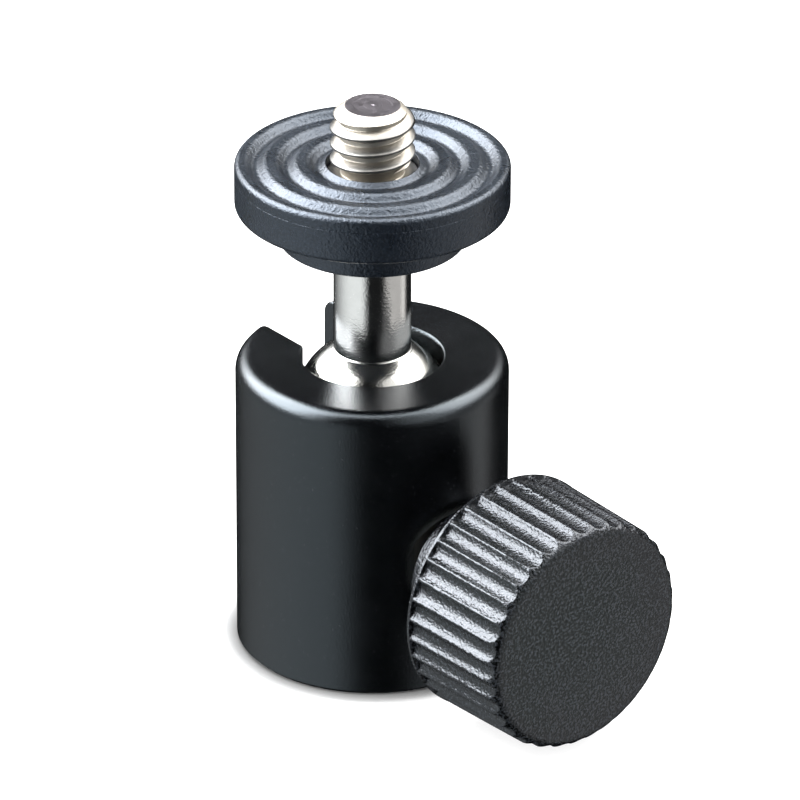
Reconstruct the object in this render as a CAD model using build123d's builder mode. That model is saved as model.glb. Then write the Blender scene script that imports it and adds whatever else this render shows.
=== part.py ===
from build123d import *
from build123d.topology import SkipClean
import os
from math import asin, ceil, cos, degrees, radians, sin, sqrt, tan

# A small tripod ball head.
#
# Frame: millimetres, +Z up, origin at the centre of the housing's bottom face.
# The clamp knob points towards +X and the slot that the stem drops into faces -X.
# The head stands as it is stored: stem upright, knob tight.

# ---------------------------------------------------------------- driving dimensions

# Unified inch thread, 1/4"-20, for the tripod below and the camera above
quarter_inch_radius = 3.175
quarter_inch_pitch = 1.27
thread_flank_angle = 30.0
thread_sectors = 12

# Housing
housing_radius = 10.3
housing_top_fillet = 1.2
housing_bottom_chamfer = 0.3
lip_overlap = 0.7
lip_land = 1.695
lip_fillet = 0.2
slot_corner_radius = 0.5
slot_clearance = 0.2

# Ball
ball_radius = 5.95
ball_seat_gap = 0.1

# Stem, which reaches so far above the ball's centre
stem_radius = 2.92
stem_reach = 16.15
spigot_radius = 1.9
spigot_length = 4.6
spigot_clearance = 0.04
stem_socket_depth = 4.6
stem_edge_chamfer = 0.25

# Upper seat ring, split where the slot is, just above the ball's equator
seat_ring_rise = 0.25
seat_ring_height = 1.6
seat_ring_wall = 1.1
seat_ring_clearance = 0.05

# Ball liner, a thin cap under the ball
liner_thickness = 0.4
liner_clearance = 0.05
liner_half_angle = 55.0

# Pressure piston, its rim a little below the ball's centre and its web over the wedge pin
piston_web = 0.5183
piston_clearance = 0.06
piston_rim_drop = 3.45
piston_cup_gap = 0.05
piston_edge_chamfer = 0.3

# Friction ring in the piston's groove, a little below the piston's rim
friction_ring_drop = 1.3
friction_ring_cord_radius = 0.45
friction_groove_clearance = 0.06

# Clamp screw: it runs in the housing's side and lifts the piston with its cone
knob_axis_z = 9.95
screw_radius = 2.5
screw_pitch = 0.8
screw_clearance = 0.05
cone_half_angle = 35.0
cone_setback = 2.943
cone_tip_radius = 0.3
loosening_turns = 0.75

# Wedge pin, the hard pin that the cone bears on
wedge_pin_radius = 0.75
wedge_pin_half_length = 5.6
wedge_gap = 0.03
pocket_gap = 0.35
pocket_end_gap = 0.6

# Stop ring on the screw, which keeps the knob from coming off
stop_ring_play = 0.75
stop_ring_thickness = 0.6
stop_ring_radius = 2.9
stop_groove_radius = 2.1
stop_ring_opening = 2.4
stop_ring_clearance = 0.02
stop_bay_clearance = 0.5

# Clamp bush, the brass thread pressed into the housing's side
bush_radius = 3.6
bush_inset = 0.05
spotface_depth = 0.7
spotface_radius = 4.6

# Thrust washer between the housing and the knob's hub
washer_radius = 4.4
washer_thickness = 0.6

# Knob
knob_standoff = 5.09
knob_length = 9.54
knob_rear_radius = 9.27
knob_front_radius = 9.01
knob_shoulder_radius = 1.17
knob_ring_width = 0.3
knob_hub_radius = 5.2
knob_recess_radius = 7.9
knob_face_thickness = 3.0
knob_rib_count = 6
knob_rib_thickness = 1.0
knob_rib_setback = 1.2
knob_rib_root = 0.3
flute_count = 36
flute_radius = 1.25
flute_depth = 0.28

# Threaded insert moulded into the knob
insert_across_flats = 7.6
insert_length = 7.4
screw_engagement = 6.8

# Camera plate, with round V grooves in its top and a boss around the stem
plate_radius = 10.28
plate_thickness = 3.67
plate_lift = 0.75
plate_top_fillet = 0.45
plate_bottom_fillet = 0.5
boss_radius = 7.1
boss_lap = 1.85
boss_fillet = 0.3
groove_inset = 1.56
groove_spacing = 2.3
groove_half_width = 0.7
groove_depth = 0.55
plate_hole_clearance = 0.04

# Plate insert, the steel bush moulded into the plate
plate_insert_radius = 4.6
plate_insert_height = 1.7
plate_insert_knurls = 24
knurl_depth = 0.2
plate_insert_hole_clearance = 0.15

# Lock washer between the stem and the plate insert
lock_washer_radius = 2.75
lock_washer_thickness = 0.5
lock_washer_gap_width = 0.6

# Camera screw, which stands so far above the plate
camera_screw_stand = 4.55
camera_screw_tip_radius = 2.0
camera_screw_bevel = 1.07
camera_relief_radius = 2.35
camera_relief_height = 0.7
camera_collar_radius = 3.42
camera_collar_height = 1.4
camera_shank_radius = 1.9
camera_thread_phase = 0.375
tip_dimple_radius = 0.3
tip_dimple_depth = 0.2

# Base plug and the brass tripod bush in it
plug_radius = 8.0
plug_height = 4.0
plug_spigot_clearance = 0.1
plug_top_z = 5.3
plug_clearance = 0.03
spanner_hole_radius = 0.65
spanner_hole_depth = 1.5
spanner_hole_offset = 6.3
tripod_bush_radius = 4.2
tripod_bush_flange_radius = 5.2
tripod_bush_flange_thickness = 0.7
tripod_minor_radius = 2.6
tripod_mouth_radius = 3.25
tripod_mouth_depth = 0.45
press_clearance = 0.02

# Drag spring, a flat coil that keeps the ball lightly loaded
spring_height = 1.7
spring_wire_radius = 0.22
spring_mean_radius = 5.9
spring_turns = 2.5

# How far a cutting shape reaches past the solid that it cuts
cut_margin = 1.0

# ---------------------------------------------------------------- derived sizes

slot_half_width = stem_radius + slot_clearance
seat_radius = ball_radius + ball_seat_gap
lip_radius = seat_radius - lip_overlap
bore_radius = seat_radius + seat_ring_wall + seat_ring_clearance
plug_spigot_radius = bore_radius - plug_spigot_clearance
liner_inner_radius = ball_radius + liner_clearance
liner_outer_radius = liner_inner_radius + liner_thickness
cup_radius = liner_outer_radius + piston_cup_gap
piston_radius = bore_radius - piston_clearance

spotface_x = housing_radius - spotface_depth
bush_inner_x = bore_radius + bush_inset
stop_ring_x = bush_inner_x - stop_ring_play - stop_ring_thickness
cone_base_x = stop_ring_x - cone_setback
cone_slope = tan(radians(cone_half_angle))
cone_apex_x = cone_base_x - screw_radius / cone_slope
cone_tip_x = cone_apex_x + cone_tip_radius / cone_slope
screw_travel = loosening_turns * screw_pitch
piston_travel = screw_travel * cone_slope
wedge_pin_z = (
    knob_axis_z
    + (wedge_pin_radius + wedge_gap) / cos(radians(cone_half_angle))
    - cone_apex_x * cone_slope
)

# the stack above the wedge pin: the piston's web, the ball in its cup, the lip that holds it
ball_center_z = wedge_pin_z + wedge_pin_radius + piston_web + cup_radius
housing_height = ball_center_z + sqrt(seat_radius**2 - lip_radius**2) + lip_land
seat_ring_bottom_z = ball_center_z + seat_ring_rise
seat_ring_top_z = seat_ring_bottom_z + seat_ring_height
piston_bottom_z = plug_top_z + spring_height
piston_top_z = ball_center_z - piston_rim_drop
friction_ring_z = piston_top_z - friction_ring_drop
neck_z = ball_center_z + sqrt(ball_radius**2 - stem_radius**2)
spigot_bottom_z = neck_z - spigot_length

entry_radius = screw_radius + piston_travel + pocket_gap - screw_clearance
bay_radius = stop_ring_radius + piston_travel + stop_ring_clearance
bay_x = stop_ring_x - stop_bay_clearance

washer_x = housing_radius
hub_rear_x = washer_x + washer_thickness
screw_front_x = hub_rear_x + screw_engagement
knob_rear_x = housing_radius + knob_standoff
knob_front_x = knob_rear_x + knob_length
knob_recess_floor_x = knob_front_x - knob_face_thickness
flute_start_x = knob_rear_x + knob_ring_width
knob_plane = Plane(origin=(0, 0, knob_axis_z), x_dir=(0, 1, 0), z_dir=(1, 0, 0))

stem_top_z = ball_center_z + stem_reach
boss_bottom_z = stem_top_z - boss_lap
plate_bottom_z = stem_top_z + plate_lift
plate_top_z = plate_bottom_z + plate_thickness
plate_hole_radius = camera_collar_radius + plate_hole_clearance
plate_insert_bottom_z = stem_top_z + lock_washer_thickness
plate_insert_top_z = plate_insert_bottom_z + plate_insert_height
camera_collar_top_z = plate_insert_top_z + camera_collar_height
camera_thread_bottom_z = camera_collar_top_z + camera_relief_height
camera_screw_tip_z = plate_top_z + camera_screw_stand
plate_insert_hole_radius = camera_shank_radius + plate_insert_hole_clearance


def finish(builder, name):
    """Name a finished piece and write it as one STEP file."""
    builder.part.label = name
    export_step(builder.part, f"parts/{name}.step")


def x_plane(x):
    """The plane across the knob's axis at a given x."""
    return knob_plane.offset(x)


def circle_in_arcs(radius, bottom_z, arcs):
    """A full circle drawn as equal arcs, so that a helix cut in its cylinder leaves short crest faces."""
    half_step = 180 / arcs
    points = [Vector(radius, 0, bottom_z).rotate(Axis.Z, half_step * n) for n in range(2 * arcs)]
    with SkipClean(), BuildLine() as rim:
        for first in range(0, 2 * arcs, 2):
            end = points[(first + 2) % (2 * arcs)]
            ThreePointArc(points[first], points[first + 1], end)
    return Face(rim.wire())


def thread_turn(radius, pitch, inward, phase=0.0):
    """One turn of a V groove with a flat root, cut into a shaft (inward) or out of a bore's wall."""
    side = -1 if inward else 1
    crest_half = (pitch - pitch / 8) / 2
    root_half = pitch / 8
    slope = tan(radians(thread_flank_angle))
    depth = (crest_half - root_half) / slope
    reach = 0.1 * pitch
    with BuildPart() as groove:
        with BuildLine():
            path = Helix(pitch, pitch, radius)
        start = path @ 0
        across = Plane(origin=start, x_dir=(side, 0, 0), z_dir=path % 0)
        with BuildSketch(across):
            with BuildLine():
                Polyline(
                    (-reach, crest_half + reach * slope),
                    (depth, root_half),
                    (depth, -root_half),
                    (-reach, -crest_half - reach * slope),
                    close=True,
                )
            make_face()
        sweep(path=path, is_frenet=True)
    return groove.part.rotate(Axis.Z, 360 * phase)


def turn_heights(bottom_z, length, pitch):
    """Where the turns of a thread start, from one pitch below it to past its top."""
    turns = 2 + ceil(length / pitch)
    return [bottom_z + n * pitch for n in range(-1, turns - 1)]


# ---------------------------------------------------------------- fixed body


def make_housing():
    """The turned shell: bore from below, spherical seat, lip, slot, and the clamp bush's hole."""
    bush_hole_radius = bush_radius + press_clearance
    with BuildPart() as housing:
        with BuildSketch():
            Circle(housing_radius)
        extrude(amount=housing_height)
        rims = housing.edges().filter_by(GeomType.CIRCLE).sort_by(Axis.Z)
        fillet(rims[-1], housing_top_fillet)
        chamfer(rims[0], housing_bottom_chamfer)
        with BuildSketch():
            Circle(plug_radius + plug_clearance)
        extrude(amount=plug_height, mode=Mode.SUBTRACT)
        with BuildSketch():
            Circle(bore_radius)
        extrude(amount=seat_ring_top_z, mode=Mode.SUBTRACT)
        with Locations((0, 0, ball_center_z)):
            Sphere(seat_radius, mode=Mode.SUBTRACT)
        with BuildSketch(Plane.XY.offset(ball_center_z)):
            Circle(lip_radius)
        extrude(amount=housing_height - ball_center_z, mode=Mode.SUBTRACT)
        with BuildSketch(Plane.YZ):
            with Locations((0, ball_center_z)):
                Circle(slot_half_width)
                Rectangle(
                    2 * slot_half_width,
                    housing_height - ball_center_z + cut_margin,
                    align=(Align.CENTER, Align.MIN),
                )
        extrude(amount=-housing_radius - cut_margin, mode=Mode.SUBTRACT)
        # round the corners between the slot and the opening, then the whole rim of both
        slot_end_x = -sqrt(lip_radius**2 - slot_half_width**2)
        jaws = housing.edges().filter_by(Axis.Z).filter_by(
            lambda e: abs(e.center().X - slot_end_x) < cut_margin
        )
        fillet(jaws, slot_corner_radius)
        rim = housing.edges().group_by(Axis.Z)[-1].filter_by(
            lambda e: e.geom_type == GeomType.LINE or e.radius <= lip_radius
        )
        fillet(rim, lip_fillet)
        with BuildSketch(x_plane(spotface_x)):
            Circle(spotface_radius)
        extrude(amount=housing_radius, mode=Mode.SUBTRACT)
        with BuildSketch(x_plane(0)):
            Circle(bush_hole_radius)
        extrude(amount=housing_radius, mode=Mode.SUBTRACT)
    finish(housing, "housing")


def make_base_plug():
    """The plug that closes the bore below, with two holes for a pin spanner."""
    with BuildPart() as base_plug:
        with BuildSketch():
            Circle(plug_radius)
        extrude(amount=plug_height - plug_clearance)
        with BuildSketch():
            Circle(plug_spigot_radius)
        extrude(amount=plug_top_z)
        with BuildSketch():
            Circle(tripod_bush_radius + press_clearance)
        extrude(amount=plug_top_z, mode=Mode.SUBTRACT)
        flange_seat_z = plug_top_z - tripod_bush_flange_thickness
        with BuildSketch(Plane.XY.offset(flange_seat_z)):
            Circle(tripod_bush_flange_radius + press_clearance)
        extrude(amount=tripod_bush_flange_thickness, mode=Mode.SUBTRACT)
        with BuildSketch():
            with PolarLocations(spanner_hole_offset, 2, start_angle=90):
                Circle(spanner_hole_radius)
        extrude(amount=spanner_hole_depth, mode=Mode.SUBTRACT)
    finish(base_plug, "base_plug")


def make_tripod_bush():
    """The brass 1/4"-20 thread for the tripod's screw, flanged inside so that it can't pull out."""
    turn = thread_turn(tripod_minor_radius, quarter_inch_pitch, inward=False)
    bore = circle_in_arcs(tripod_minor_radius, 0, thread_sectors)
    with SkipClean(), BuildPart() as tripod_bush:
        with BuildSketch():
            Circle(tripod_bush_radius)
        extrude(amount=plug_top_z)
        with BuildSketch(Plane.XY.offset(plug_top_z)):
            Circle(tripod_bush_flange_radius)
        extrude(amount=-tripod_bush_flange_thickness)
        extrude(bore, amount=plug_top_z, dir=(0, 0, 1), mode=Mode.SUBTRACT, clean=False)
        for z in turn_heights(0, plug_top_z, quarter_inch_pitch):
            with Locations((0, 0, z)):
                add(turn, mode=Mode.SUBTRACT, clean=False)
        with BuildSketch(Plane.XZ):
            with BuildLine():
                Polyline(
                    (0, 0),
                    (tripod_mouth_radius, 0),
                    (tripod_minor_radius, tripod_mouth_depth),
                    (0, tripod_mouth_depth),
                    close=True,
                )
            make_face()
        revolve(axis=Axis.Z, mode=Mode.SUBTRACT, clean=False)
    finish(tripod_bush, "tripod_bush")


def make_seat_ring():
    """The plastic ring above the ball's equator, split at the slot."""
    with BuildPart() as seat_ring:
        with BuildSketch(Plane.XY.offset(seat_ring_bottom_z)):
            Circle(bore_radius - seat_ring_clearance)
        extrude(amount=seat_ring_height - seat_ring_clearance)
        with Locations((0, 0, ball_center_z)):
            Sphere(ball_radius + seat_ring_clearance, mode=Mode.SUBTRACT)
        with BuildSketch(Plane.YZ):
            with Locations((0, ball_center_z)):
                Rectangle(2 * slot_half_width, 2 * bore_radius)
        extrude(amount=-bore_radius, mode=Mode.SUBTRACT)
    finish(seat_ring, "upper_seat_ring")


def make_clamp_bush():
    """The brass bush in the housing's side that carries the clamp screw's thread."""
    with BuildPart() as clamp_bush:
        with BuildSketch(x_plane(bush_inner_x)):
            Circle(bush_radius)
            Circle(screw_radius + screw_clearance, mode=Mode.SUBTRACT)
        extrude(amount=spotface_x - bush_inner_x)
    finish(clamp_bush, "clamp_bush")


def make_drag_spring():
    """The flat coil between the plug and the piston."""
    bottom_z = plug_top_z + spring_wire_radius
    height = piston_bottom_z - plug_top_z - 2 * spring_wire_radius
    with BuildPart() as drag_spring:
        with BuildLine():
            coil = Helix(height / spring_turns, height, spring_mean_radius, center=(0, 0, bottom_z))
        with BuildSketch(Plane(origin=coil @ 0, z_dir=coil % 0)):
            Circle(spring_wire_radius)
        sweep(path=coil, is_frenet=True)
    finish(drag_spring, "drag_spring")


# ---------------------------------------------------------------- piston


def pocket_outline():
    """The outline of the piston's pocket, as points (x, distance from the screw's axis)."""
    end_x = cone_tip_x - pocket_end_gap
    entry_x = cone_apex_x + (entry_radius - pocket_gap) / cone_slope
    return [
        (end_x, (end_x - cone_apex_x) * cone_slope + pocket_gap),
        (entry_x, entry_radius),
        (bay_x, entry_radius),
        (bay_x, bay_radius),
        (bore_radius, bay_radius),
    ]


def make_piston():
    """The cup that presses on the ball. Its pocket straddles the screw and is open below."""
    outline = pocket_outline()
    inner_x = outline[0][0]
    with BuildPart() as piston:
        with BuildSketch(Plane.XY.offset(piston_bottom_z)):
            Circle(piston_radius)
        extrude(amount=piston_top_z - piston_bottom_z)
        rims = piston.edges().filter_by(GeomType.CIRCLE).sort_by(Axis.Z)
        chamfer(rims[0], piston_edge_chamfer)
        with Locations((0, 0, ball_center_z)):
            Sphere(cup_radius, mode=Mode.SUBTRACT)
        # the round ceiling of the pocket, turned about the screw's axis
        with BuildSketch(Plane.XZ):
            with BuildLine():
                upper = [(x, knob_axis_z + r) for x, r in outline]
                ends = [(bore_radius, knob_axis_z), (inner_x, knob_axis_z)]
                Polyline(*upper, *ends, close=True)
            make_face()
        revolve(axis=Axis((0, 0, knob_axis_z), (1, 0, 0)), mode=Mode.SUBTRACT)
        # the straight walls below the screw's axis
        with BuildSketch(Plane.XY.offset(piston_bottom_z)):
            with BuildLine():
                left = [(x, r) for x, r in outline]
                right = [(x, -r) for x, r in reversed(outline)]
                Polyline(*left, *right, close=True)
            make_face()
        extrude(amount=knob_axis_z - piston_bottom_z, mode=Mode.SUBTRACT)
        # the cross hole of the wedge pin
        with BuildSketch(Plane.XZ.offset(-bore_radius)):
            with Locations((0, wedge_pin_z)):
                Circle(wedge_pin_radius + press_clearance)
        extrude(amount=2 * bore_radius, mode=Mode.SUBTRACT)
        # the friction ring's groove
        groove_radius = bore_radius - 2 * friction_ring_cord_radius - 2 * friction_groove_clearance
        groove_width = 2 * (friction_ring_cord_radius + friction_groove_clearance)
        with BuildSketch(Plane.XY.offset(friction_ring_z - groove_width / 2)):
            Circle(bore_radius)
            Circle(groove_radius, mode=Mode.SUBTRACT)
        extrude(amount=groove_width, mode=Mode.SUBTRACT)
    finish(piston, "pressure_piston")


def make_wedge_pin():
    """The hard cross pin that rides up the screw's cone."""
    with BuildPart() as wedge_pin:
        with BuildSketch(Plane.XZ.offset(-wedge_pin_half_length)):
            with Locations((0, wedge_pin_z)):
                Circle(wedge_pin_radius)
        extrude(amount=2 * wedge_pin_half_length)
    finish(wedge_pin, "wedge_pin")


def make_friction_ring():
    """The rubber ring in the piston's groove."""
    middle_radius = bore_radius - friction_ring_cord_radius - friction_groove_clearance
    with BuildPart() as friction_ring:
        with BuildSketch(Plane.XZ):
            with Locations((middle_radius, friction_ring_z)):
                Circle(friction_ring_cord_radius)
        revolve(axis=Axis.Z)
    finish(friction_ring, "friction_ring")


# ---------------------------------------------------------------- ball


def make_ball_liner():
    """The thin cap between the ball and the piston's cup."""
    half = radians(liner_half_angle)

    def cap_point(radius, angle):
        return (radius * sin(angle), ball_center_z - radius * cos(angle))

    with BuildPart() as ball_liner:
        with BuildSketch(Plane.XZ):
            with BuildLine():
                inner = [cap_point(liner_inner_radius, half * n / 2) for n in range(3)]
                outer = [cap_point(liner_outer_radius, half * n / 2) for n in range(3)]
                ThreePointArc(*inner)
                ThreePointArc(*outer)
                Line(inner[2], outer[2])
                Line(inner[0], outer[0])
            make_face()
        revolve(axis=Axis.Z)
    finish(ball_liner, "ball_liner")


def make_ball():
    """The ball, spot-faced and bored for the stem."""
    with BuildPart() as ball:
        with Locations((0, 0, ball_center_z)):
            Sphere(ball_radius)
        with BuildSketch(Plane.XY.offset(neck_z)):
            Circle(ball_radius)
        extrude(amount=ball_radius, mode=Mode.SUBTRACT)
        with BuildSketch(Plane.XY.offset(neck_z)):
            Circle(spigot_radius + spigot_clearance)
        extrude(amount=-spigot_length - spigot_clearance, mode=Mode.SUBTRACT)
    finish(ball, "ball")


# ---------------------------------------------------------------- stem, plate and camera screw


def make_stem():
    """The stem: a spigot in the ball below, a tapped socket for the camera screw above."""
    with BuildPart() as stem:
        with BuildSketch(Plane.XY.offset(neck_z)):
            Circle(stem_radius)
        extrude(amount=stem_top_z - neck_z)
        rims = stem.edges().filter_by(GeomType.CIRCLE).sort_by(Axis.Z)
        chamfer(rims[-1], stem_edge_chamfer)
        with BuildSketch(Plane.XY.offset(spigot_bottom_z)):
            Circle(spigot_radius)
        extrude(amount=spigot_length)
        with BuildSketch(Plane.XY.offset(stem_top_z)):
            Circle(camera_shank_radius + press_clearance)
        extrude(amount=-stem_socket_depth, mode=Mode.SUBTRACT)
    finish(stem, "ball_stem")


def make_lock_washer():
    """The split spring washer on top of the stem."""
    with BuildPart() as lock_washer:
        with BuildSketch(Plane.XY.offset(stem_top_z)):
            Circle(lock_washer_radius)
            Circle(plate_insert_hole_radius, mode=Mode.SUBTRACT)
            with Locations((lock_washer_radius, 0)):
                Rectangle(2 * lock_washer_radius, lock_washer_gap_width, mode=Mode.SUBTRACT)
        extrude(amount=lock_washer_thickness)
    finish(lock_washer, "lock_washer")


def make_plate_insert():
    """The knurled steel bush in the plate's middle, which takes the camera screw's clamping force."""
    with BuildPart() as plate_insert:
        with BuildSketch(Plane.XY.offset(plate_insert_bottom_z)):
            Circle(plate_insert_radius)
            with PolarLocations(plate_insert_radius, plate_insert_knurls):
                Circle(knurl_depth, mode=Mode.SUBTRACT)
            Circle(plate_insert_hole_radius, mode=Mode.SUBTRACT)
        extrude(amount=plate_insert_height)
    finish(plate_insert, "plate_insert")


def make_plate():
    """The moulded plate with its boss, grooved top and the cavity around the insert."""
    with BuildPart() as plate:
        with BuildSketch(Plane.XY.offset(plate_bottom_z)):
            Circle(plate_radius)
        extrude(amount=plate_thickness)
        rims = plate.edges().filter_by(GeomType.CIRCLE).sort_by(Axis.Z)
        fillet(rims[-1], plate_top_fillet)
        fillet(rims[0], plate_bottom_fillet)
        with BuildSketch(Plane.XY.offset(boss_bottom_z)):
            Circle(boss_radius)
        extrude(amount=plate_bottom_z - boss_bottom_z)
        fillet(plate.edges().filter_by(GeomType.CIRCLE).sort_by(Axis.Z)[0], boss_fillet)
        groove_room = plate_radius - groove_inset - plate_hole_radius
        with BuildSketch(Plane.XZ):
            for n in range(1 + int(groove_room / groove_spacing)):
                valley_radius = plate_radius - groove_inset - n * groove_spacing
                with BuildLine():
                    Polyline(
                        (valley_radius - groove_half_width, plate_top_z),
                        (valley_radius, plate_top_z - groove_depth),
                        (valley_radius + groove_half_width, plate_top_z),
                        close=True,
                    )
                make_face()
        revolve(axis=Axis.Z, mode=Mode.SUBTRACT)
        with BuildSketch(Plane.XY.offset(plate_insert_top_z)):
            Circle(plate_hole_radius)
        extrude(amount=plate_top_z - plate_insert_top_z, mode=Mode.SUBTRACT)
        with BuildSketch(Plane.XY.offset(plate_insert_bottom_z)):
            Circle(plate_insert_radius + press_clearance)
        extrude(amount=plate_insert_height, mode=Mode.SUBTRACT)
        with BuildSketch(Plane.XY.offset(boss_bottom_z)):
            Circle(stem_radius + press_clearance)
        extrude(amount=plate_insert_bottom_z - boss_bottom_z, mode=Mode.SUBTRACT)
    finish(plate, "camera_plate")


def make_camera_screw():
    """The 1/4"-20 screw that holds the camera, with the collar that clamps the plate to the stem."""
    thread_length = camera_screw_tip_z - camera_thread_bottom_z
    bevel_z = camera_screw_tip_z - camera_screw_bevel
    shank_bottom_z = stem_top_z - stem_socket_depth + stem_edge_chamfer
    turn = thread_turn(
        quarter_inch_radius, quarter_inch_pitch, inward=True, phase=camera_thread_phase
    )
    crest = circle_in_arcs(quarter_inch_radius, camera_thread_bottom_z, thread_sectors)
    with SkipClean(), BuildPart() as camera_screw:
        extrude(crest, amount=thread_length, dir=(0, 0, 1), clean=False)
        for z in turn_heights(camera_thread_bottom_z, thread_length, quarter_inch_pitch):
            with Locations((0, 0, z)):
                add(turn, mode=Mode.SUBTRACT, clean=False)
        # the bevel that leads the screw into the camera
        with BuildSketch(Plane.XZ):
            with BuildLine():
                Polyline(
                    (camera_screw_tip_radius, camera_screw_tip_z + cut_margin),
                    (camera_screw_tip_radius, camera_screw_tip_z),
                    (quarter_inch_radius, bevel_z),
                    (quarter_inch_radius + cut_margin, bevel_z),
                    (quarter_inch_radius + cut_margin, camera_screw_tip_z + cut_margin),
                    close=True,
                )
            make_face()
        revolve(axis=Axis.Z, mode=Mode.SUBTRACT, clean=False)
        with BuildSketch(Plane.XY.offset(camera_collar_top_z)):
            Circle(camera_relief_radius)
        extrude(amount=camera_relief_height, clean=False)
        with BuildSketch(Plane.XY.offset(plate_insert_top_z)):
            Circle(camera_collar_radius)
        extrude(amount=camera_collar_height, clean=False)
        with BuildSketch(Plane.XY.offset(shank_bottom_z)):
            Circle(camera_shank_radius)
        extrude(amount=plate_insert_top_z - shank_bottom_z, clean=False)
        with BuildSketch(Plane.XZ):
            with BuildLine():
                Polyline(
                    (0, camera_screw_tip_z),
                    (tip_dimple_radius, camera_screw_tip_z),
                    (0, camera_screw_tip_z - tip_dimple_depth),
                    close=True,
                )
            make_face()
        revolve(axis=Axis.Z, mode=Mode.SUBTRACT, clean=False)
    finish(camera_screw, "camera_screw")


# ---------------------------------------------------------------- clamp knob


def make_thrust_washer():
    """The nylon washer at the hub's end."""
    with BuildPart() as thrust_washer:
        with BuildSketch(x_plane(washer_x)):
            Circle(washer_radius)
            Circle(screw_radius + screw_clearance, mode=Mode.SUBTRACT)
        extrude(amount=washer_thickness)
    finish(thrust_washer, "thrust_washer")


def make_clamp_screw():
    """The screw: a cone at its inner end, a groove for the stop ring, its outer end in the knob."""
    stop_end_x = stop_ring_x + stop_ring_thickness
    with BuildPart() as clamp_screw:
        with BuildSketch(Plane.XZ):
            with BuildLine():
                Polyline(
                    (cone_tip_x, knob_axis_z),
                    (cone_tip_x, knob_axis_z + cone_tip_radius),
                    (cone_base_x, knob_axis_z + screw_radius),
                    (stop_ring_x, knob_axis_z + screw_radius),
                    (stop_ring_x, knob_axis_z + stop_groove_radius),
                    (stop_end_x, knob_axis_z + stop_groove_radius),
                    (stop_end_x, knob_axis_z + screw_radius),
                    (screw_front_x, knob_axis_z + screw_radius),
                    (screw_front_x, knob_axis_z),
                    close=True,
                )
            make_face()
        revolve(axis=Axis((0, 0, knob_axis_z), (1, 0, 0)))
    finish(clamp_screw, "clamp_screw")


def make_stop_ring():
    """The open ring in the screw's groove, which meets the clamp bush when the knob is undone."""
    with BuildPart() as stop_ring:
        with BuildSketch(x_plane(stop_ring_x + stop_ring_clearance)):
            Circle(stop_ring_radius)
            Circle(stop_groove_radius + stop_ring_clearance, mode=Mode.SUBTRACT)
            with Locations((0, -stop_ring_radius)):
                Rectangle(stop_ring_opening, 2 * stop_ring_radius, mode=Mode.SUBTRACT)
        extrude(amount=stop_ring_thickness - 2 * stop_ring_clearance)
    finish(stop_ring, "screw_stop_ring")


def make_knob_insert():
    """The brass hexagon moulded into the knob, which holds the screw."""
    with BuildPart() as knob_insert:
        with BuildSketch(x_plane(hub_rear_x)):
            RegularPolygon(insert_across_flats / 2, 6, major_radius=False)
            Circle(screw_radius + press_clearance, mode=Mode.SUBTRACT)
        extrude(amount=insert_length)
    finish(knob_insert, "knob_insert")


def make_flute_cutter():
    """A bar as long as a flute, from the knob's rear ring out past its front face."""
    with BuildPart() as cutter:
        with BuildSketch():
            Circle(flute_radius)
        extrude(amount=knob_front_x - flute_start_x + cut_margin)
    return cutter.part


def make_knob():
    """The moulded knob: flutes that run out in the round shoulder, a hollow back, ribs around a hub."""
    taper = (knob_rear_radius - knob_front_radius) / (knob_front_x - knob_rear_x)
    lean = degrees(asin(taper))
    flute_start_radius = knob_rear_radius - taper * knob_ring_width
    cutter_radius = flute_start_radius + flute_radius - flute_depth
    shoulder = knob_shoulder_radius
    screw_axis = Axis((0, 0, knob_axis_z), (1, 0, 0))
    cutter = make_flute_cutter()
    with BuildPart() as knob:
        with BuildSketch(Plane.XZ):
            with BuildLine():
                Polyline(
                    (knob_rear_x, knob_axis_z),
                    (knob_rear_x, knob_axis_z + knob_rear_radius),
                    (knob_front_x - shoulder, knob_axis_z + knob_front_radius),
                )
                face_edge = (knob_front_x, knob_axis_z + knob_front_radius - shoulder)
                RadiusArc((knob_front_x - shoulder, knob_axis_z + knob_front_radius), face_edge, shoulder)
                Polyline(face_edge, (knob_front_x, knob_axis_z), (knob_rear_x, knob_axis_z))
            make_face()
        revolve(axis=screw_axis)
        with BuildSketch(x_plane(knob_rear_x)):
            Circle(knob_recess_radius)
            Circle(knob_hub_radius, mode=Mode.SUBTRACT)
        extrude(amount=knob_recess_floor_x - knob_rear_x, mode=Mode.SUBTRACT)
        with BuildSketch(x_plane(hub_rear_x)):
            Circle(knob_hub_radius)
        extrude(amount=knob_rear_x - hub_rear_x)
        with BuildSketch(x_plane(knob_rear_x + knob_rib_setback)):
            with PolarLocations((knob_hub_radius + knob_recess_radius) / 2, knob_rib_count):
                Rectangle(
                    knob_recess_radius - knob_hub_radius + 2 * knob_rib_root, knob_rib_thickness
                )
        extrude(amount=knob_recess_floor_x - knob_rear_x - knob_rib_setback)
        with BuildSketch(x_plane(hub_rear_x)):
            RegularPolygon(insert_across_flats / 2 + press_clearance, 6, major_radius=False)
        extrude(amount=insert_length, mode=Mode.SUBTRACT)
        with Locations(x_plane(flute_start_x)):
            with PolarLocations(cutter_radius, flute_count):
                add(cutter, rotation=(0, -lean, 0), mode=Mode.SUBTRACT)
    finish(knob, "knob")


# ---------------------------------------------------------------- build

os.makedirs("parts", exist_ok=True)

make_housing()
make_base_plug()
make_tripod_bush()
make_seat_ring()
make_clamp_bush()
make_drag_spring()
make_piston()
make_wedge_pin()
make_friction_ring()
make_ball_liner()
make_ball()
make_stem()
make_lock_washer()
make_plate_insert()
make_plate()
make_camera_screw()
make_thrust_washer()
make_clamp_screw()
make_stop_ring()
make_knob_insert()
make_knob()
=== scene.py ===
import math

import bpy
import numpy as np
from mathutils import Matrix, Vector


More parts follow.
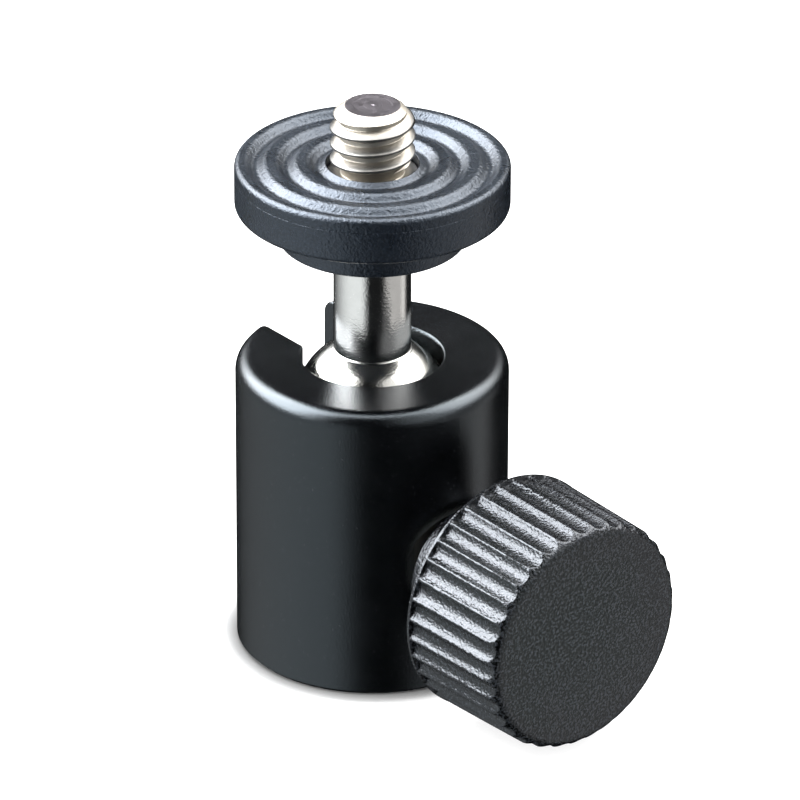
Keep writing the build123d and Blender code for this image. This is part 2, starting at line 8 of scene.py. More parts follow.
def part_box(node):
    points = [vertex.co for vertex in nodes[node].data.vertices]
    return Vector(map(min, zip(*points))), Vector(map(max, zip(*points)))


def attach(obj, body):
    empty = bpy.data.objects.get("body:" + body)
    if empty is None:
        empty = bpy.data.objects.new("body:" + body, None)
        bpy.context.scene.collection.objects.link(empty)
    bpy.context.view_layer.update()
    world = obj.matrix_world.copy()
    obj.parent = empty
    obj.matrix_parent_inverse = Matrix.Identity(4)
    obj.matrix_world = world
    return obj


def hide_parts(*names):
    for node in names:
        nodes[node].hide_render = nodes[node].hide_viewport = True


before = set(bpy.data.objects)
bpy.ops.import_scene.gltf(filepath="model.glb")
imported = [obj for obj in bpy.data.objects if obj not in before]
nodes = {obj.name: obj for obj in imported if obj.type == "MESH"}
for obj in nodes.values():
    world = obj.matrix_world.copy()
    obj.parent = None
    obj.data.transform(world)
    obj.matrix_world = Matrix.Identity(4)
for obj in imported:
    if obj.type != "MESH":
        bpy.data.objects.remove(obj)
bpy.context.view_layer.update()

MM = 0.001

# ---------------------------------------------------------------- camera, as in the photograph

photo_side = 800
focal_pixels = 7468
sensor_width = 36.0
camera_back = 0.5
camera_rise = 0.27702
camera_pitch = 0.4753
camera_yaw = 0.0042
camera_roll = 0.0037
object_turn = math.radians(50.8)
camera_azimuth = object_turn - math.pi / 2


def place_camera():
    """The long lens that looks down on the head, turned so that the knob points right."""
    data = bpy.data.cameras.new("photo_camera")
    data.sensor_width = sensor_width
    data.lens = focal_pixels / photo_side * sensor_width
    camera = bpy.data.objects.new("photo_camera", data)
    bpy.context.scene.collection.objects.link(camera)
    forward = Vector((
        math.sin(camera_yaw) * math.cos(camera_pitch),
        math.cos(camera_yaw) * math.cos(camera_pitch),
        -math.sin(camera_pitch),
    ))
    level_right = Vector((math.cos(camera_yaw), -math.sin(camera_yaw), 0))
    level_up = level_right.cross(forward)
    right = level_right * math.cos(camera_roll) + level_up * math.sin(camera_roll)
    up = level_up * math.cos(camera_roll) - level_right * math.sin(camera_roll)
    turn = Matrix.Rotation(object_turn, 4, "Z")
    stand = Matrix.Translation((0, -camera_back, camera_rise))
    camera.matrix_world = turn @ stand @ Matrix((right, up, -forward)).transposed().to_4x4()
    bpy.context.scene.camera = camera


# ---------------------------------------------------------------- node graphs


class Graph:
    """Adds nodes to one node tree and links them."""

    def __init__(self, tree):
        self.tree = tree

    def add(self, kind, **settings):
        node = self.tree.nodes.new(kind)
        for name, value in settings.items():
            setattr(node, name, value)
        return node

    def feed(self, socket, value):
        if isinstance(value, bpy.types.NodeSocket):
            self.tree.links.new(value, socket)
        else:
            socket.default_value = value

    def math(self, operation, first, second=0.0):
        node = self.add("ShaderNodeMath", operation=operation)
        self.feed(node.inputs[0], first)
        self.feed(node.inputs[1], second)
        return node.outputs[0]

    def smooth(self, value, low, high, start=0.0, end=1.0):
        """A smooth step: start below low, end above high."""
        node = self.add("ShaderNodeMapRange", interpolation_type="SMOOTHSTEP")
        ends = {"From Min": low, "From Max": high, "To Min": start, "To Max": end}
        for name, number in ends.items():
            node.inputs[name].default_value = number
        self.feed(node.inputs["Value"], value)
        return node.outputs["Result"]

    def spread(self, noise, start, end):
        """Noise, whose values keep to the middle, spread from start to end."""
        return self.smooth(noise, 0.3, 0.7, start, end)

    def mix(self, factor, first, second):
        node = self.add("ShaderNodeMix", data_type="RGBA")
        self.feed(node.inputs["Factor"], factor)
        self.feed(node.inputs["A"], first)
        self.feed(node.inputs["B"], second)
        return node.outputs["Result"]

    def place(self):
        """The point in the object's own space, in metres."""
        return self.add("ShaderNodeTexCoord").outputs["Object"]

    def radius(self):
        """The distance from the object's vertical axis."""
        parts = self.add("ShaderNodeSeparateXYZ")
        self.feed(parts.inputs[0], self.place())
        squares = [self.math("POWER", part, 2.0) for part in parts.outputs[:2]]
        return self.math("SQRT", self.math("ADD", *squares))

    def noise(self, size_mm, detail=2.0, roughness=0.5, stretch=None):
        """Noise with features of about size_mm, at most stretched along an axis."""
        place = self.place()
        if stretch:
            mapping = self.add("ShaderNodeMapping")
            mapping.inputs["Scale"].default_value = stretch
            self.feed(mapping.inputs["Vector"], place)
            place = mapping.outputs["Vector"]
        node = self.add("ShaderNodeTexNoise")
        node.inputs["Scale"].default_value = 1 / (size_mm * MM)
        node.inputs["Detail"].default_value = detail
        node.inputs["Roughness"].default_value = roughness
        self.feed(node.inputs["Vector"], place)
        return node.outputs["Fac"]

    def bump(self, height, depth_mm, under=None):
        node = self.add("ShaderNodeBump")
        node.inputs["Strength"].default_value = 1.0
        node.inputs["Distance"].default_value = depth_mm * MM
        self.feed(node.inputs["Height"], height)
        if under is not None:
            self.feed(node.inputs["Normal"], under)
        return node.outputs["Normal"]

    def surface(self, shader, colour, roughness, normal):
        self.feed(shader.inputs["Base Color"], colour)
        self.feed(shader.inputs["Roughness"], roughness)
        self.feed(shader.inputs["Normal"], normal)


def shade(red, green, blue):
    return (red, green, blue, 1.0)


def new_material(name, **sockets):
    """A material with one Principled shader, and the graph to dress it with."""
    material = bpy.data.materials.new(name)
    material.use_nodes = True
    shader = material.node_tree.nodes["Principled BSDF"]
    for socket, value in sockets.items():
        shader.inputs[socket.replace("_", " ")].default_value = value
    return material, shader, Graph(material.node_tree)


# ---------------------------------------------------------------- studio

studio_white = 2.0

# The table, its glow, and its contact shadow, painted into its colour and glow, which ends between
# two radii around the housing
table_half = 3.0
table_glow = 0.8
shadow_reach = 2.2
shadow_radius = 11.5
open_radius = 16.0

# The key light
key_watts = 0.25
key_size = 0.35
key_reach = 0.35
key_height = 0.6
key_turn = math.radians(160)


def studio_world():
    """White around the camera and for soft light; for gloss, the softboxes of a product table."""
    world = bpy.data.worlds.new("studio")
    bpy.context.scene.world = world
    world.use_nodes = True
    world.cycles.sampling_method = "NONE"
    tree = world.node_tree
    tree.nodes.clear()
    graph = Graph(tree)
    direction = graph.add("ShaderNodeTexCoord").outputs["Generated"]
    turned = graph.add("ShaderNodeVectorRotate", rotation_type="Z_AXIS")
    turned.inputs["Angle"].default_value = -camera_azimuth
    graph.feed(turned.inputs["Vector"], direction)
    parts = graph.add("ShaderNodeSeparateXYZ")
    graph.feed(parts.inputs[0], turned.outputs[0])
    to_degrees = 180 / math.pi
    ahead, side, up = parts.outputs
    azimuth = graph.math("MULTIPLY", graph.math("ARCTAN2", side, ahead), to_degrees)
    height = graph.math("MULTIPLY", graph.math("ARCSINE", up), to_degrees)

    def card(colour, strength, *edges):
        """A card seen only in gloss.

        Each edge is a measure, and the values at which the card starts and at which it is full.
        """
        shape = strength
        for measure, start, full in edges:
            rising = full > start
            edge = (start, full, 0.0, 1.0) if rising else (full, start, 1.0, 0.0)
            shape = graph.math("MULTIPLY", graph.smooth(measure, *edge), shape)
        emission = graph.add("ShaderNodeBackground")
        emission.inputs["Color"].default_value = colour
        graph.feed(emission.inputs["Strength"], shape)
        return emission.outputs[0]

    neutral = shade(1.0, 1.0, 1.0)
    warm = shade(1.0, 0.99, 0.98)
    cool = shade(0.97, 0.98, 1.0)
    low = ((height, -64.0, -44.0), (height, 20.0, 0.0))
    high_fall = (height, 76.0, 62.0)
    left = ((height, 2.0, 32.0), high_fall)
    right = ((height, 10.0, 42.0), high_fall)
    wing = ((height, 2.0, 16.0), high_fall)
    cards = [
        # the low cards beside the camera, which the upright walls reflect
        card(shade(0.93, 0.98, 1.0), 1.3, (azimuth, -165.0, -60.0), (azimuth, -8.0, -34.0), *low),
        card(warm, 0.68, (azimuth, 28.0, 48.0), (azimuth, 126.0, 104.0), *low),
        card(shade(1.0, 0.98, 0.96), 0.35, (azimuth, 92.0, 100.0), (azimuth, 118.0, 108.0), *low),
        # the strong high ones to the left and right, and the one overhead
        card(cool, 21.0, (azimuth, -168.0, -128.0), (azimuth, -48.0, -76.0), *left),
        card(warm, 11.0, (azimuth, 168.0, 128.0), (azimuth, 58.0, 86.0), *right),
        card(neutral, 9.0, (height, 64.0, 79.0), (height, 89.0, 82.0)),
        # the small one behind, which the near sides of the plate's grooves reflect
        card(neutral, 5.0, (ahead, -0.3, -0.42), (height, 40.0, 52.0), (height, 68.0, 58.0)),
        # the dim inner wings of the high ones, on both sides of the gap for the camera
        card(neutral, 2.6, (azimuth, -90.0, -60.0), (azimuth, -32.0, -50.0), *wing),
        card(neutral, 2.0, (azimuth, 84.0, 62.0), (azimuth, 12.0, 44.0), *wing),
        # the dim wall behind
        card(shade(0.95, 0.98, 1.0), 0.1, (ahead, -0.3, -0.6), (height, 0.0, 15.0)),
    ]
    ambient = graph.add("ShaderNodeBackground")
    ambient.inputs["Color"].default_value = shade(0.014, 0.015, 0.016)
    total = ambient.outputs[0]
    for lit in cards:
        joined = graph.add("ShaderNodeAddShader")
        graph.feed(joined.inputs[0], total)
        graph.feed(joined.inputs[1], lit)
        total = joined.outputs[0]
    white = graph.add("ShaderNodeBackground")
    white.inputs["Color"].default_value = shade(1, 1, 1)
    white.inputs["Strength"].default_value = studio_white
    chosen = graph.add("ShaderNodeMixShader")
    graph.feed(chosen.inputs[0], graph.add("ShaderNodeLightPath").outputs["Is Glossy Ray"])
    graph.feed(chosen.inputs[1], white.outputs[0])
    graph.feed(chosen.inputs[2], total)
    output = graph.add("ShaderNodeOutputWorld")
    graph.feed(output.inputs["Surface"], chosen.outputs[0])


def studio_floor():
    """The pale table top, with a contact shadow painted into its colour and glow."""
    mesh = bpy.data.meshes.new("table_top")
    signs = [(-1, -1), (1, -1), (1, 1), (-1, 1)]
    mesh.from_pydata([(table_half * x, table_half * y, 0) for x, y in signs], [], [(0, 1, 2, 3)])
    table = bpy.data.objects.new("table_top", mesh)
    bpy.context.scene.collection.objects.link(table)
    material, shader, graph = new_material("table_white", Roughness=1.0, Specular_IOR_Level=0.0)
    # painted contact shadow: the colour darkens where the parts stand near
    nearness = graph.add("ShaderNodeAmbientOcclusion", samples=8)
    nearness.inputs["Distance"].default_value = shadow_reach * MM
    openness = graph.smooth(nearness.outputs["AO"], 0.45, 1.0)
    colour = graph.mix(openness, shade(0.34, 0.34, 0.34), shade(0.94, 0.94, 0.94))
    graph.feed(shader.inputs["Base Color"], colour)
    shader.inputs["Emission Color"].default_value = shade(1.0, 1.0, 1.0)
    # painted shadow in the glow: it fades near the parts and rises away from the housing's axis,
    # which lifts the shade under the knob
    contact = graph.smooth(nearness.outputs["AO"], 0.75, 1.0, 0.0, table_glow)
    away = graph.smooth(graph.radius(), shadow_radius * MM, open_radius * MM, 0.0, table_glow)
    graph.feed(shader.inputs["Emission Strength"], graph.math("MAXIMUM", contact, away))
    mesh.materials.append(material)
    table.visible_glossy = False


def key_light():
    """A soft light from behind and above, which draws the contact shadow towards the camera."""
    data = bpy.data.lights.new("key_light", "AREA")
    data.shape = "DISK"
    data.size = key_size
    data.energy = key_watts
    lamp = bpy.data.objects.new("key_light", data)
    bpy.context.scene.collection.objects.link(lamp)
    away = camera_azimuth + key_turn
    place = Vector((key_reach * math.cos(away), key_reach * math.sin(away), key_height))
    aim = place.to_track_quat("Z", "Y").to_matrix().to_4x4()
    lamp.matrix_world = Matrix.Translation(place) @ aim
    lamp.visible_glossy = False


# ---------------------------------------------------------------- materials


def black_coat():
    """Satin black coat on the turned housing, with a fine grain and a few specks."""
    material, shader, graph = new_material(
        "housing_coat", Specular_IOR_Level=0.5, Specular_Tint=shade(0.8, 0.92, 1.0)
    )
    grain = graph.noise(0.13, detail=2.0, roughness=0.6)
    cloud = graph.noise(2.5, detail=3.0)
    specks = graph.smooth(graph.noise(0.14, detail=1.0), 0.72, 0.8)
    coat = graph.mix(cloud, shade(0.0006, 0.0008, 0.001), shade(0.0014, 0.0016, 0.0019))
    colour = graph.mix(specks, coat, shade(0.03, 0.031, 0.033))
    graph.surface(shader, colour, graph.spread(cloud, 0.17, 0.22), graph.bump(grain, 0.022))
    return material


def plate_plastic():
    """Moulded plastic with an orange-peel skin."""
    material, shader, graph = new_material(
        "plate_plastic", Specular_IOR_Level=0.6, Specular_Tint=shade(0.76, 0.86, 1.0)
    )
    peel = graph.noise(0.36, detail=2.0)
    grain = graph.noise(0.19, detail=2.0, roughness=0.6)
    paler = graph.smooth(grain, 0.35, 0.65)
    colour = graph.mix(paler, shade(0.001, 0.002, 0.0036), shade(0.0036, 0.0056, 0.009))
    roughness = graph.spread(graph.noise(3.0), 0.26, 0.34)
    skin = graph.bump(peel, 0.05)
    graph.surface(shader, colour, roughness, graph.bump(grain, 0.055, under=skin))
    return material


def knob_plastic():
    """Fine-grained black plastic."""
    material, shader, graph = new_material(
        "knob_plastic", Specular_IOR_Level=0.5, Specular_Tint=shade(0.88, 0.93, 1.0)
    )
    grain = graph.noise(0.19, detail=1.0)
    paler = graph.smooth(grain, 0.46, 0.68)
    colour = graph.mix(paler, shade(0.0, 0.0, 0.0), shade(0.0115, 0.0135, 0.0165))
    roughness = graph.spread(graph.noise(2.2, detail=2.0), 0.2, 0.27)
    graph.surface(shader, colour, roughness, graph.bump(grain, 0.075))
    return material


def thread_steel():
    """The camera screw's steel, darker and glossier on the crests than between them: the darker
    crests are painted shade that tames their highlights, and the paler grooves are painted light.
    """
    material, shader, graph = new_material("screw_steel", Metallic=1.0)
    # painted light by depth: the grooves take a paler steel and the crests a darker one, standing
    # in for light and shade
    painted_crest_mask = graph.smooth(graph.radius(), 2.6 * MM, 3.05 * MM)
    cloud = graph.noise(0.5, detail=4.0, roughness=0.6)
    crests = graph.mix(cloud, shade(0.2, 0.195, 0.185), shade(0.1, 0.097, 0.09))
    colour = graph.mix(painted_crest_mask, shade(0.4, 0.37, 0.32), crests)
    roughness = graph.smooth(painted_crest_mask, 0.0, 1.0, 0.42, 0.33)
    graph.surface(shader, colour, roughness, graph.bump(graph.noise(0.18, detail=2.0), 0.01))
    return material


def clouded(name, colour, dimmest, roughness, rougher, cloud, **sockets):
    """A material whose colour and gloss change in clouds, given as for Graph.noise."""
    material, shader, graph = new_material(name, **sockets)
    noise = graph.noise(*cloud)
    dark = shade(*(dimmest * channel for channel in colour))
    graph.feed(shader.inputs["Base Color"], graph.mix(noise, shade(*colour), dark))
    graph.feed(shader.inputs["Roughness"], graph.spread(noise, roughness, roughness + rougher))
    return material, shader, graph


def turned_metal(name, colour, roughness, ring_mm, ring_depth):
    """Plated metal with the fine rings of turning around the vertical axis."""
    material, shader, graph = clouded(
        name, colour, 0.86, roughness, 0.06, (0.9, 4.0, 0.6), Metallic=1.0
    )
    rings = graph.noise(ring_mm, detail=2.0, stretch=(0.02, 0.02, 1.0))
    pits = graph.bump(graph.noise(0.18, detail=2.0, roughness=0.6), 0.012)
    graph.feed(shader.inputs["Normal"], graph.bump(rings, ring_depth, under=pits))
    return material


def plain_metal(name, colour, roughness):
    """Bright or cast metal without a direction."""
    material, shader, graph = clouded(
        name, colour, 0.8, roughness, 0.1, (0.5, 4.0, 0.6), Metallic=1.0
    )
    graph.feed(shader.inputs["Normal"], graph.bump(graph.noise(0.12, detail=3.0), 0.003))
    return material


def plain_plastic(name, colour, roughness):
    """Dull or milky plastic and rubber for the small inner parts."""
    material, shader, graph = clouded(name, colour, 0.75, roughness, 0.1, (0.8, 3.0))
    graph.feed(shader.inputs["Normal"], graph.bump(graph.noise(0.15, detail=3.0), 0.004))
    return material


# ---------------------------------------------------------------- shapes


def unit(vector):
    return vector / np.linalg.norm(vector)


def rounded_outline(corners, steps=6, closed=False):
    """Points and outward normals of an outline in (radius, height), each corner (r, z, rounding).

    The outline runs with its outside on the right, so up the outer wall and inwards along the top.
    """
    count = len(corners)
    places = [np.array(corner[:2], float) for corner in corners]
    points = []
    normals = []
    for n in range(count):
        before = unit(places[n] - places[n - 1]) if n > 0 or closed else None
        after = unit(places[(n + 1) % count] - places[n]) if n < count - 1 or closed else None
        if before is None or after is None:
            along = after if before is None else before
            points.append(places[n])
            normals.append(np.array((along[1], -along[0])))
            continue
        first = np.array((before[1], -before[0]))
        last = np.array((after[1], -after[0]))
        cross = before[0] * after[1] - before[1] * after[0]
        side = 1.0 if cross > 0 else -1.0
        rounding = corners[n][2] if len(corners[n]) > 2 else 0.0
        centre = places[n] - side * rounding * (first + last) / (1 + first @ last)
        sweep = math.acos(max(-1.0, min(1.0, first @ last)))
        for step in range(steps + 1):
            turn = side * sweep * step / steps
            cos, sin = math.cos(turn), math.sin(turn)
            normal = np.array((cos * first[0] - sin * first[1], sin * first[0] + cos * first[1]))
            points.append(centre + side * rounding * normal)
            normals.append(normal)
    return np.array(points), np.array(normals)


def densified(outline, spacing, wanted):
    """The outline with points about spacing apart wherever wanted(start, end) is true."""
    dense = [outline[0]]
    for point in outline[1:]:
        start = dense[-1]
        length = np.linalg.norm(point - start)
        pieces = max(1, int(length / spacing)) if wanted(start, point) else 1
        for step in range(1, pieces + 1):
            dense.append(start + (point - start) * step / pieces)
    return np.array(dense)


def around(columns):
    """The angles of one full turn."""
    return np.linspace(0, 2 * math.pi, columns, endpoint=False)


def spun(radius, height, angle):
    """The points of an outline, swung through the angles around the vertical axis."""
    heights = np.repeat(height, len(angle), axis=1)
    swung = np.stack([radius * np.cos(angle), radius * np.sin(angle), heights], axis=-1)
    return swung.reshape(-1, 3)


def grid_faces(rows, columns, wrap_rows=False):
    """Quads of a grid whose columns close on themselves."""
    row = np.arange(rows if wrap_rows else rows - 1)[:, None] * columns
    above = (row + columns) % (rows * columns)
    column = np.arange(columns)[None, :]
    after = (column + 1) % columns
    quads = np.stack([row + column, row + after, above + after, above + column], axis=-1)
    return quads.reshape(-1, 4).tolist()


def capped_grid(rows, columns):
    """Quads of a grid, with one flat face over its first row and one over its last."""
    last = (rows - 1) * columns
    ends = [list(range(columns))[::-1], list(range(last, last + columns))]
    return grid_faces(rows, columns) + ends


def link_mesh(name, points, faces, normals=None):
    """A smooth mesh object from points in millimetres."""
    mesh = bpy.data.meshes.new(name)
    mesh.from_pydata((np.asarray(points) * MM).tolist(), [], faces)
    mesh.shade_smooth()
    if normals is not None:
        mesh.normals_split_custom_set_from_vertices(np.asarray(normals).tolist())
    piece = bpy.data.objects.new(name, mesh)
    bpy.context.scene.collection.objects.link(piece)
    return piece


def turned(name, corners, columns, closed=False):
    """A piece turned around the vertical axis, with flat ends where the outline stays open."""
    points, normals = rounded_outline(corners, closed=closed)
    angle = around(columns)
    place = spun(points[:, :1], points[:, 1:], angle)
    lean = spun(normals[:, :1], normals[:, 1:], angle)
    rows = len(points)
    faces = grid_faces(rows, columns, wrap_rows=True) if closed else capped_grid(rows, columns)
    return link_mesh(name, place, faces, lean)


def sharpen(piece, degrees):
    """Keep edges steeper than this crisp."""
    piece.data.set_sharp_from_angle(angle=math.radians(degrees))


def soft_least(first, second, rounding):
    """The lesser of two surfaces, with the edge between them rounded."""
    gap = np.clip((rounding - np.abs(first - second)) / rounding, 0, None)
    return np.minimum(first, second) - gap * gap * rounding / 4


def dress(piece, material, body, replaced):
    piece.data.materials.append(material)
    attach(piece, body)
    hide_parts(replaced)


# ---------------------------------------------------------------- sizes from the frame

stem_low, stem_high = (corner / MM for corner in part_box("ball_stem"))
plate_low, plate_high = (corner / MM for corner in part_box("camera_plate"))
screw_low, screw_high = (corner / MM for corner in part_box("camera_screw"))
ball_low, ball_high = (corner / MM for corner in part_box("ball"))
knob_low, knob_high = (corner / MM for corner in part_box("knob"))
insert_low, insert_high = (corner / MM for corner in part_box("plate_insert"))

ball_radius = ball_high.x
ball_z = ball_low.z + ball_radius
neck_z = ball_high.z
stem_radius = stem_high.x


# ---------------------------------------------------------------- skins, all in millimetres


def make_plate(material):
    """The round plate with its boss, the V grooves in its top and the fine line round its side."""
    radius = plate_high.x
    top = plate_high.z
    bottom = 35.95
    rim_rounding = 0.45
    boss_bottom = plate_low.z
    boss_radius = 7.1
    line_z = 38.6
    line_half = 0.05
    line_depth = 0.02
    groove_radii = (8.72, 6.42, 4.12)
    groove_half = 0.7
    groove_depth = 0.62
    groove_rounding = 0.45
    land_rounding = 0.6
    hole_radius = 3.46
    hole_drop = 0.045
    bore = stem_radius + 0.02
    pocket = insert_high.x + 0.02
    corners = [
        (bore, boss_bottom, 0.1),
        (boss_radius, boss_bottom, 0.3),
        (boss_radius, bottom, 0.12),
        (radius, bottom, 0.5),
        (radius, line_z - line_half, 0.02),
        (radius - line_depth, line_z, 0.02),
        (radius, line_z + line_half, 0.02),
        (radius, top, rim_rounding),
    ]
    for valley in groove_radii:
        corners.append((valley + groove_half, top, land_rounding))
        corners.append((valley, top - groove_depth, groove_rounding))
        if valley - groove_half > hole_radius:
            corners.append((valley - groove_half, top, land_rounding))
    corners.append((hole_radius, top - hole_drop, 0.06))
    corners.append((hole_radius, insert_high.z, 0.02))
    corners.append((pocket, insert_high.z, 0.02))
    corners.append((pocket, insert_low.z, 0.02))
    corners.append((bore, insert_low.z, 0.05))
    plate = turned("camera_plate_skin", corners, columns=256, closed=True)
    dress(plate, material, "top", "camera_plate")


def make_ball(material):
    """The polished ball with its flat at the neck."""
    rows = 96
    columns = 192
    lowest = -86.0
    flat = math.degrees(math.asin((neck_z - ball_z) / ball_radius))
    rise = np.radians(np.linspace(lowest, flat, rows))[:, None]
    across, up = np.cos(rise), np.sin(rise)
    place = spun(ball_radius * across, ball_z + ball_radius * up, around(columns))
    lean = spun(across, up, around(columns))
    ball = link_mesh("ball_skin", place, capped_grid(rows, columns), lean)
    dress(ball, material, "ball", "ball")


def make_stem(material):
    """The stem, with the fine bead at its foot."""
    foot = stem_radius + 0.11
    foot_z = ball_z + math.sqrt(ball_radius**2 - foot**2)
    bead_half = 0.1
    spigot = 1.9
    spigot_sink = 0.3
    socket = 1.92
    socket_depth = 4.6
    bevel = 0.25
    corners = [
        (spigot, stem_low.z),
        (spigot, foot_z - spigot_sink, 0.02),
        (foot, foot_z - bead_half, 0.02),
        (foot, foot_z + bead_half, 0.09),
        (stem_radius, foot_z + bead_half + 0.02, 0.02),
        (stem_radius, stem_high.z - bevel, 0.1),
        (stem_radius - bevel, stem_high.z, 0.1),
        (socket, stem_high.z, 0.05),
        (socket, stem_high.z - socket_depth),
    ]
    stem = turned("stem_skin", corners, columns=128)
    dress(stem, material, "top", "ball_stem")


def make_screw(material, painted_shade_tip_material):
    """The 1/4"-20 screw: a helical groove cut into a bevelled rod, above a collar."""
    pitch = 1.27
    phase = 0.875
    crest_radius = 3.175
    root_half = pitch / 8
    crest_half = (pitch - pitch / 8) / 2
    slope = math.tan(math.radians(30))
    root_radius = crest_radius - (crest_half - root_half) / slope
    crest_slack = 0.02
    crest_rounding = 0.06
    edge_rounding = 0.05
    tip_z = screw_high.z
    tip_reach = 2.05
    bevel_z = tip_z - 1.3
    thread_z = 39.5
    neck_radius = 2.35
    collar_radius = 3.42
    collar_top = 38.8
    shank_radius = 1.9
    spacing = 0.03
    columns = 240
    corners = [
        (shank_radius, screw_low.z),
        (shank_radius, insert_high.z, 0.03),
        (collar_radius, insert_high.z, 0.1),
        (collar_radius, collar_top, 0.12),
        (neck_radius, collar_top, 0.1),
        (neck_radius, thread_z, 0.05),
        (crest_radius, thread_z, 0.1),
        (crest_radius, bevel_z, 0.1),
        (2.9, tip_z - 0.62, 0.25),
        # the tip, with its fine turned rings and the mark of the lathe's centre
        (2.12, tip_z - 0.02, 0.1),
        (2.0, tip_z, 0.02),
        (1.5, tip_z - 0.01, 0.02),
        (1.4, tip_z - 0.02, 0.02),
        (0.7, tip_z - 0.02, 0.02),
        (0.62, tip_z - 0.012, 0.02),
        (0.16, tip_z - 0.012, 0.02),
        (0.05, tip_z - 0.05),
    ]
    outline, _ = rounded_outline(corners)
    dense = densified(outline, spacing, lambda start, end: end[1] > thread_z)
    angle = around(columns)
    rod, height = dense[:, :1], dense[:, 1:]
    groove_z = thread_z + pitch * (angle / (2 * math.pi) - phase)
    offset = np.abs((height - groove_z + pitch / 2) % pitch - pitch / 2)
    groove = root_radius + np.clip((offset - root_half) / slope, 0, None)
    crest = np.full_like(groove, crest_radius + crest_slack)
    thread = soft_least(groove, crest, crest_rounding)
    reach = np.where(height > thread_z - 0.001, soft_least(rod, thread, edge_rounding), rod)
    faces = capped_grid(len(dense), columns)
    screw = link_mesh("camera_screw_skin", spun(reach, height, angle), faces)
    sharpen(screw, 50)
    screw.data.materials.append(material)
    screw.data.materials.append(painted_shade_tip_material)
    # the tip's faces take a darker copy of the steel: painted shade on the screw's top
    for face in screw.data.polygons:
        if face.center.z > (tip_z - 0.3) * MM and face.center.xy.length < tip_reach * MM:
            face.material_index = 1
    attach(screw, "top")
    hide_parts("camera_screw")


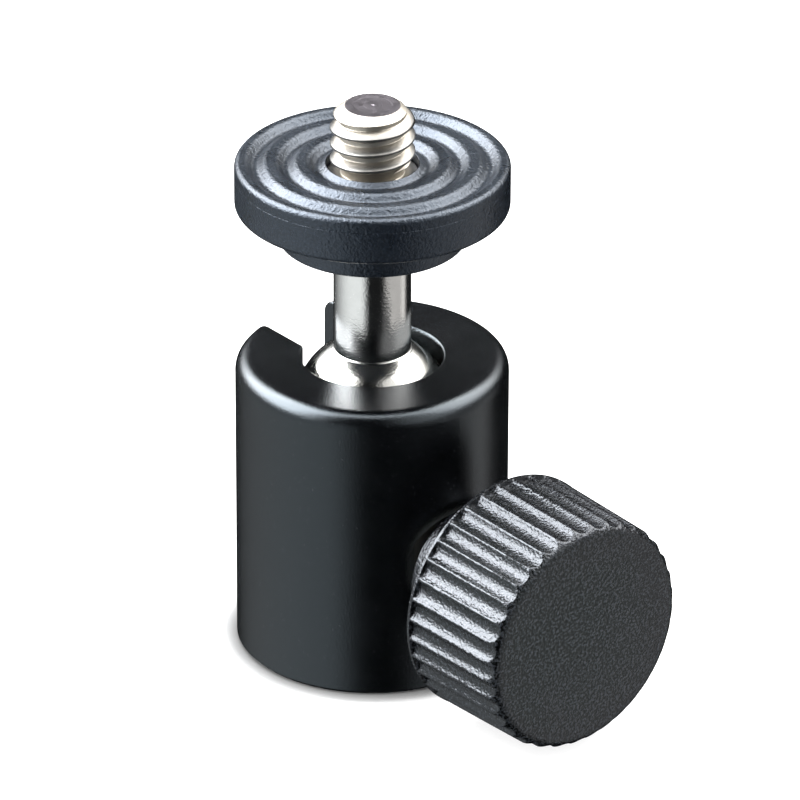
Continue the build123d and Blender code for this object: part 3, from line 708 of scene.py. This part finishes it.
def make_knob(material):
    """The knob, with flutes that run out in its shoulder, a hollow back and ribs around the hub."""
    rear = 15.39
    front = knob_high.x
    axis_z = (knob_low.z + knob_high.z) / 2
    rear_radius = 9.27
    front_radius = 9.01
    taper = (rear_radius - front_radius) / (front - rear)
    shoulder = 1.0
    shoulder_steps = 16
    ring_width = 0.3
    recess_radius = 7.9
    recess_floor = front - 3.0
    hub_radius = 5.2
    hub_rear = knob_low.x
    pocket = 4.4
    pocket_depth = 7.4
    face_middle = 0.5

    flute_count = 36
    flute_radius = 0.96
    flute_depth = 0.36
    flute_rounding = 0.08
    flute_columns = 20
    spacing = 0.08

    rib_count = 6
    rib_half = 0.5
    rib_rear = rear + 1.2
    rib_front = recess_floor + 0.1
    rib_sink = 0.3

    corners = [
        (pocket, hub_rear + pocket_depth),
        (pocket, hub_rear, 0.1),
        (hub_radius, hub_rear, 0.2),
        (hub_radius, recess_floor, 0.3),
        (recess_radius, recess_floor, 0.3),
        (recess_radius, rear, 0.1),
        (rear_radius, rear, 0.1),
        (rear_radius - taper * ring_width, rear + ring_width, 0.0),
        (front_radius, front, shoulder),
        (face_middle, front),
    ]

    def on_fluted_side(start, end):
        past_ring = start[1] > rear + ring_width - 0.01
        return min(end[0], start[0]) > front_radius - shoulder and past_ring

    outline, _ = rounded_outline(corners, steps=shoulder_steps)
    dense = densified(outline, spacing, on_fluted_side)
    columns = flute_count * flute_columns
    angle = around(columns)
    pitch_angle = 2 * math.pi / flute_count
    from_middle = ((angle + pitch_angle / 2) % pitch_angle) - pitch_angle / 2
    plain, along = dense[:, :1], dense[:, 1:]
    cutter = rear_radius - taper * (along - rear) + flute_radius - flute_depth
    chord = flute_radius**2 - (cutter * np.sin(from_middle)) ** 2
    far_away = 99.0
    floor = cutter * np.cos(from_middle) - np.sqrt(np.clip(chord, 0, None))
    scoop = np.where(chord > 0, floor, far_away)
    fluted = (along > rear + ring_width + 0.001) & (plain > front_radius - shoulder)
    radius = np.where(fluted, soft_least(plain, scoop, flute_rounding), plain)
    points = np.stack([
        np.repeat(along, columns, 1), radius * np.cos(angle), axis_z + radius * np.sin(angle)
    ], -1).reshape(-1, 3).tolist()
    faces = capped_grid(len(dense), columns)

    box_quads = ((0, 1, 3, 2), (4, 6, 7, 5), (0, 4, 5, 1), (2, 3, 7, 6), (0, 2, 6, 4), (1, 5, 7, 3))
    for n in range(rib_count):
        turn = Matrix.Rotation(math.radians(360 / rib_count * n), 3, "X")
        first = len(points)
        for x in (rib_rear, rib_front):
            for y in (hub_radius - rib_sink, recess_radius + rib_sink):
                for z in (-rib_half, rib_half):
                    corner = turn @ Vector((0, y, z))
                    points.append([x, corner.y, axis_z + corner.z])
        for quad in box_quads:
            faces.append([first + corner for corner in quad])
    knob = link_mesh("knob_skin", points, faces)
    sharpen(knob, 40)
    dress(knob, material, "knob", "knob")


# ---------------------------------------------------------------- build the scene

bpy.context.scene.view_settings.view_transform = "Standard"
place_camera()
studio_world()
studio_floor()
key_light()

coat = black_coat()
plate_skin = plate_plastic()
knob_skin = knob_plastic()
stem_nickel = turned_metal("stem_nickel", (0.66, 0.65, 0.63), 0.1, 0.05, 0.0006)
ball_nickel = turned_metal("ball_nickel", (0.43, 0.425, 0.4), 0.13, 0.06, 0.0008)
screw_steel = thread_steel()
# painted shade: a darker copy of the steel for the screw's tip, so its top looks dim
painted_shade_tip_steel = plain_metal("painted_shade_tip_steel", (0.19, 0.175, 0.19), 0.3)
inner_steel = plain_metal("inner_steel", (0.55, 0.55, 0.54), 0.25)
brass = plain_metal("brass", (0.72, 0.55, 0.27), 0.25)
cast_alloy = plain_metal("cast_alloy", (0.42, 0.42, 0.43), 0.42)
pale_plastic = plain_plastic("pale_plastic", (0.62, 0.6, 0.55), 0.45)
rubber = plain_plastic("rubber", (0.012, 0.012, 0.012), 0.6)

node_materials = {
    "housing": coat,
    "base_plug": knob_skin,
    "upper_seat_ring": pale_plastic,
    "ball_liner": pale_plastic,
    "thrust_washer": pale_plastic,
    "pressure_piston": cast_alloy,
    "friction_ring": rubber,
    "tripod_bush": brass,
    "clamp_bush": brass,
    "knob_insert": brass,
}
for name, node in nodes.items():
    material = node_materials.get(name, inner_steel)
    for slot in node.material_slots:
        slot.material = material

make_plate(plate_skin)
make_ball(ball_nickel)
make_stem(stem_nickel)
make_screw(screw_steel, painted_shade_tip_steel)
make_knob(knob_skin)
